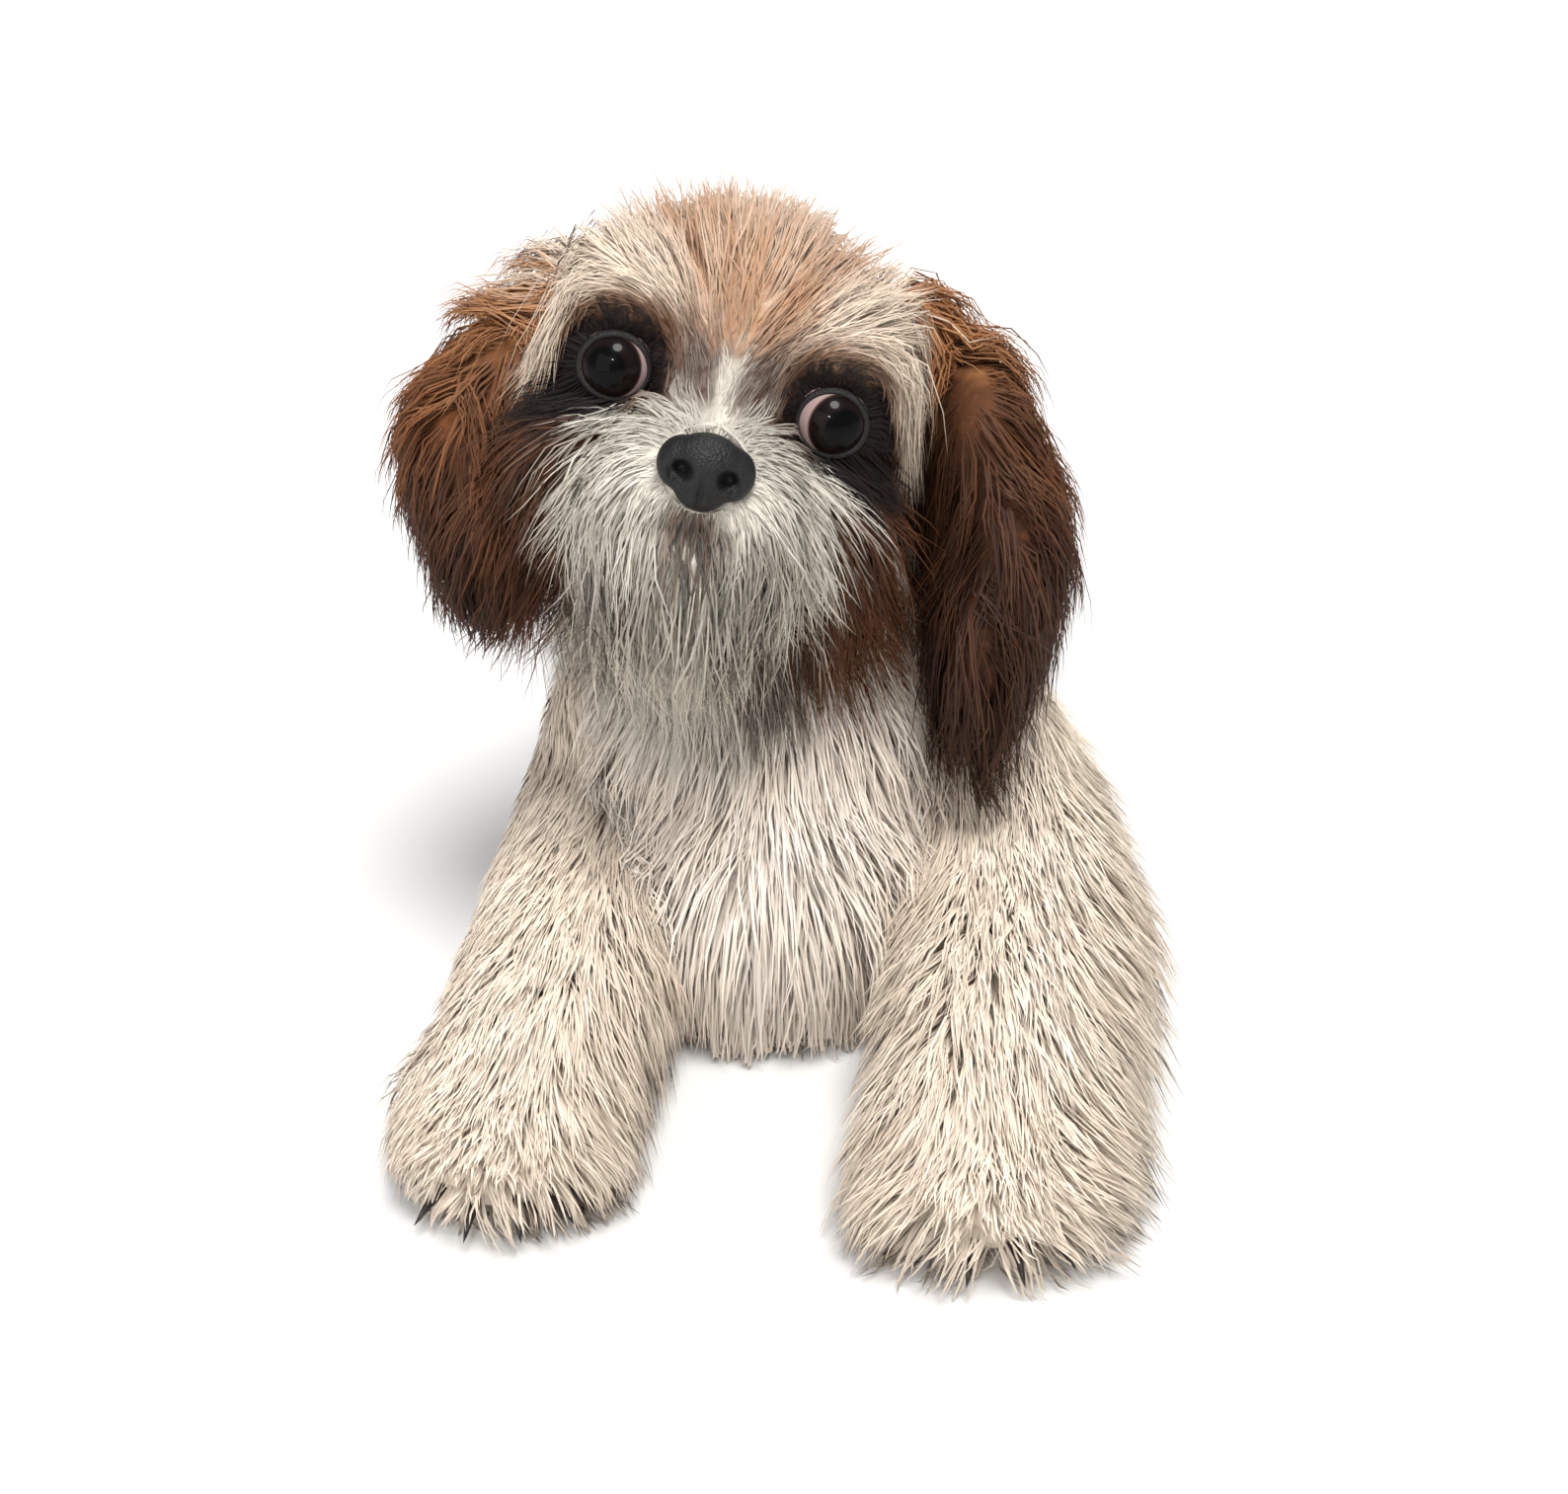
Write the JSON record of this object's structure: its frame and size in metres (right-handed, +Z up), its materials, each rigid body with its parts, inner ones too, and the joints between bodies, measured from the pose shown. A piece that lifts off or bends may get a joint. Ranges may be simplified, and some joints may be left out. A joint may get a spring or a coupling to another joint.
{
  "type": "shih tzu",
  "caption": "Life-size still model of a lying shih tzu, white with gold and brown, head raised and tilted, long coat.",
  "frame": {"origin": "on the floor under the chest, between the elbows", "axes": "+X to the dog's left, -Y ahead of it, +Z up"},
  "size_m": [0.2511, 0.5294, 0.2746],
  "materials": {
    "face_coat": "soft hair",
    "white_coat": "soft hair",
    "back_coat": "soft hair",
    "ear_coat": "soft hair",
    "nose_leather": "moist, pebbled",
    "eye": "glossy"
  },
  "bodies": {
    "root": {"ear_left": "ear_coat", "ear_right": "ear_coat", "eye_left": "eye", "eye_right": "eye", "foreleg_left": "white_coat", "foreleg_right": "white_coat", "forepaw_left": "white_coat", "forepaw_right": "white_coat", "head": "face_coat", "hindleg_left": "white_coat", "hindleg_right": "white_coat", "hindpaw_left": "white_coat", "hindpaw_right": "white_coat", "jaw": "white_coat", "neck": "white_coat", "nose": "nose_leather", "tail": "white_coat", "torso": "back_coat"}
  },
  "joints": []
}
